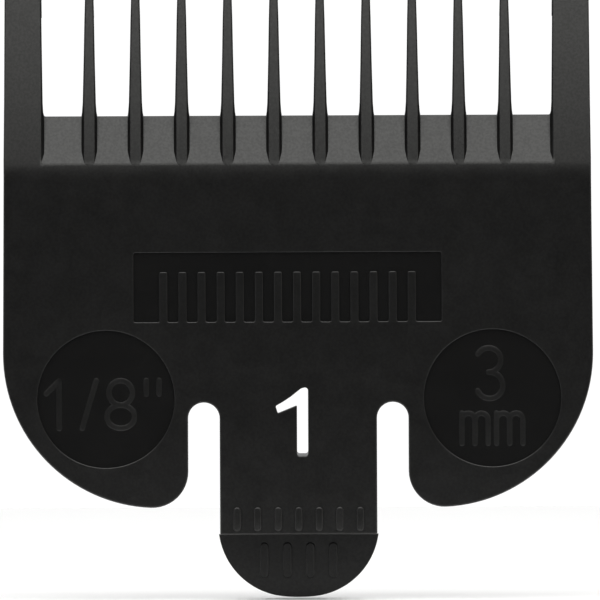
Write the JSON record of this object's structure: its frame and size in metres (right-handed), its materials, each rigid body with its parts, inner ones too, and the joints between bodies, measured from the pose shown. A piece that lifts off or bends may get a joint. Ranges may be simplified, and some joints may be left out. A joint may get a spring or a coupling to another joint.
{
  "type": "clipper guard comb",
  "caption": "Clip-on guard comb for a hair clipper: flat plate with round ears, a row of tapered teeth with blade jaws, and a springy release tongue with a thumb tab.",
  "frame": {"origin": "centre of the blade seat, on the plate's inner face", "axes": "+Z along the plate towards the tooth tips, +Y out of the blade seat towards the clipper blade, +X to the right when looking at the outer face"},
  "size_m": [0.046, 0.0066, 0.058],
  "materials": {
    "body_plastic": "satin moulded",
    "tooth_plastic": "satin moulded",
    "mark_plastic": "smooth moulded"
  },
  "bodies": {
    "comb_body": {"base_plate": "body_plastic", "front_web": "tooth_plastic", "left_rail": "tooth_plastic", "right_rail": "tooth_plastic", "tooth_01": "tooth_plastic", "tooth_02": "tooth_plastic", "tooth_03": "tooth_plastic", "tooth_04": "tooth_plastic", "tooth_05": "tooth_plastic", "tooth_06": "tooth_plastic", "tooth_07": "tooth_plastic", "tooth_08": "tooth_plastic", "tooth_09": "tooth_plastic", "tooth_10": "tooth_plastic", "inch_mark": "mark_plastic", "metric_mark": "mark_plastic"},
    "release_tongue": {"spring_tongue": "body_plastic", "heel_wall": "body_plastic", "thumb_tab": "body_plastic", "catch_lip": "body_plastic", "tongue_grip": "mark_plastic", "tab_grip": "mark_plastic"}
  },
  "joints": [
    {"name": "release_flex", "type": "hinge", "parent": "comb_body", "child": "release_tongue", "pos_m": [0, -0.0022, -0.011], "axis": [-1, 0, 0], "range_deg": [0, 10], "stiffness_Nm_per_rad": 0.3}
  ]
}
